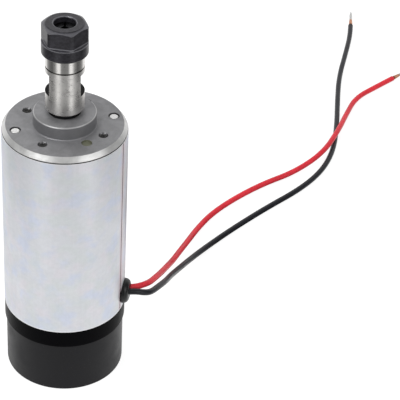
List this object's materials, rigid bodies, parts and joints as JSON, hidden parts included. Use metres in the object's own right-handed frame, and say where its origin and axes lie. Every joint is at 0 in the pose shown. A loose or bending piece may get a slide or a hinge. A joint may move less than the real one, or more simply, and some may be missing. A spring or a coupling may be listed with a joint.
{
  "type": "motor spindle",
  "caption": "Upright brushed spindle motor: plated round can on a dark rear cover, grey front flange with pilot boss, collet chuck with hexagon nut, and two loose leads.",
  "frame": {"origin": "middle of the foot, the rear cover's flat end, on which the motor stands", "axes": "+Z along the shaft from the rear cover to the collet nut; +X towards the side where the leads leave, seen from -Y; +Y away from that view"},
  "size_m": [0.2174, 0.3181, 0.1704],
  "materials": {
    "cover_grey_black": "fine moulded satin",
    "band_black": "gloss black enamel",
    "zinc_can": "bright zinc plate, drawn and rolled",
    "cast_grey": "grey die casting, fine blasted face, turned edges bright",
    "bolt_zinc": "bright zinc plate",
    "ferrite": "ground sintered ferrite",
    "bearing_steel": "ground and polished",
    "laminations": "stacked silicon steel sheet",
    "insulation_green": "pressed insulating paper",
    "copper_winding": "enamelled copper wire",
    "copper_bar": "drawn copper, turned",
    "phenolic": "moulded phenolic",
    "brass": "folded sheet brass",
    "carbon": "pressed carbon graphite",
    "spring_steel": "drawn wire",
    "grommet_rubber": "moulded black rubber",
    "lead_red": "red wire insulation",
    "lead_black": "black wire insulation",
    "tinned_copper": "stranded copper, tinned at its end",
    "chuck_steel": "turned and ground steel",
    "set_screw_black": "black oxide",
    "collet_steel": "hardened and ground steel",
    "nut_black": "black oxide on turned steel"
  },
  "bodies": {
    "motor_body": {"rear_cover": "cover_grey_black", "rear_end_bell": "band_black", "motor_can": "zinc_can", "front_end_bell": "cast_grey", "through_bolts": "bolt_zinc", "magnet_left": "ferrite", "magnet_right": "ferrite", "magnet_clips": "spring_steel", "front_bearing_outer_race": "bearing_steel", "front_bearing_shields": "bearing_steel", "rear_bearing_outer_race": "bearing_steel", "rear_bearing_shields": "bearing_steel", "preload_washer": "spring_steel", "brush_plate": "phenolic", "brush_holder_front": "brass", "brush_holder_rear": "brass", "brush_spring_front": "spring_steel", "brush_spring_rear": "spring_steel", "lead_grommet": "grommet_rubber", "inner_lead_red": "lead_red", "inner_lead_black": "lead_black", "lead_red": "lead_red", "lead_black": "lead_black", "lead_red_tip": "tinned_copper", "lead_black_tip": "tinned_copper"},
    "rotor": {"rotor_shaft": "bearing_steel", "armature_core": "laminations", "armature_insulators": "insulation_green", "armature_windings": "copper_winding", "commutator_hub": "phenolic", "commutator_bars": "copper_bar", "front_bearing_inner_race": "bearing_steel", "rear_bearing_inner_race": "bearing_steel", "chuck_body": "chuck_steel", "chuck_grub_screws": "set_screw_black"},
    "front_balls": {"front_bearing_balls": "bearing_steel"},
    "rear_balls": {"rear_bearing_balls": "bearing_steel"},
    "collet": {"collet": "collet_steel"},
    "nut": {"collet_nut": "nut_black"},
    "brush_front": {"carbon_brush_front": "carbon"},
    "brush_rear": {"carbon_brush_rear": "carbon"}
  },
  "joints": [
    {"name": "rotor_spin", "type": "hinge", "parent": "motor_body", "child": "rotor", "pos_m": [0, 0, 0.123], "axis": [0, 0, 1], "continuous": true},
    {"name": "front_balls_orbit", "type": "hinge", "parent": "motor_body", "child": "front_balls", "pos_m": [0, 0, 0.1228], "axis": [0, 0, 1], "continuous": true},
    {"name": "rear_balls_orbit", "type": "hinge", "parent": "motor_body", "child": "rear_balls", "pos_m": [0, 0, 0.0284], "axis": [0, 0, 1], "continuous": true},
    {"name": "collet_feed", "type": "slide", "parent": "rotor", "child": "collet", "axis": [0, 0, 1], "range_m": [0, 0.00206]},
    {"name": "nut_turn", "type": "hinge", "parent": "collet", "child": "nut", "pos_m": [0, 0, 0.163], "axis": [0, 0, 1], "range_deg": [0, 990]},
    {"name": "brush_front_slide", "type": "slide", "parent": "motor_body", "child": "brush_front", "axis": [0, -1, 0], "range_m": [0, 0.0012], "stiffness_N_per_m": 400, "springref_m": -0.004, "deforming": ["brush_spring_front"]},
    {"name": "brush_rear_slide", "type": "slide", "parent": "motor_body", "child": "brush_rear", "axis": [0, 1, 0], "range_m": [0, 0.0012], "stiffness_N_per_m": 400, "springref_m": -0.004, "deforming": ["brush_spring_rear"]}
  ],
  "couplings": [
    {"joint": "nut_turn", "follows": "collet_feed", "rad_per_m": 8377.6},
    {"joint": "front_balls_orbit", "follows": "rotor_spin", "ratio": 0.37},
    {"joint": "rear_balls_orbit", "follows": "rotor_spin", "ratio": 0.37}
  ]
}
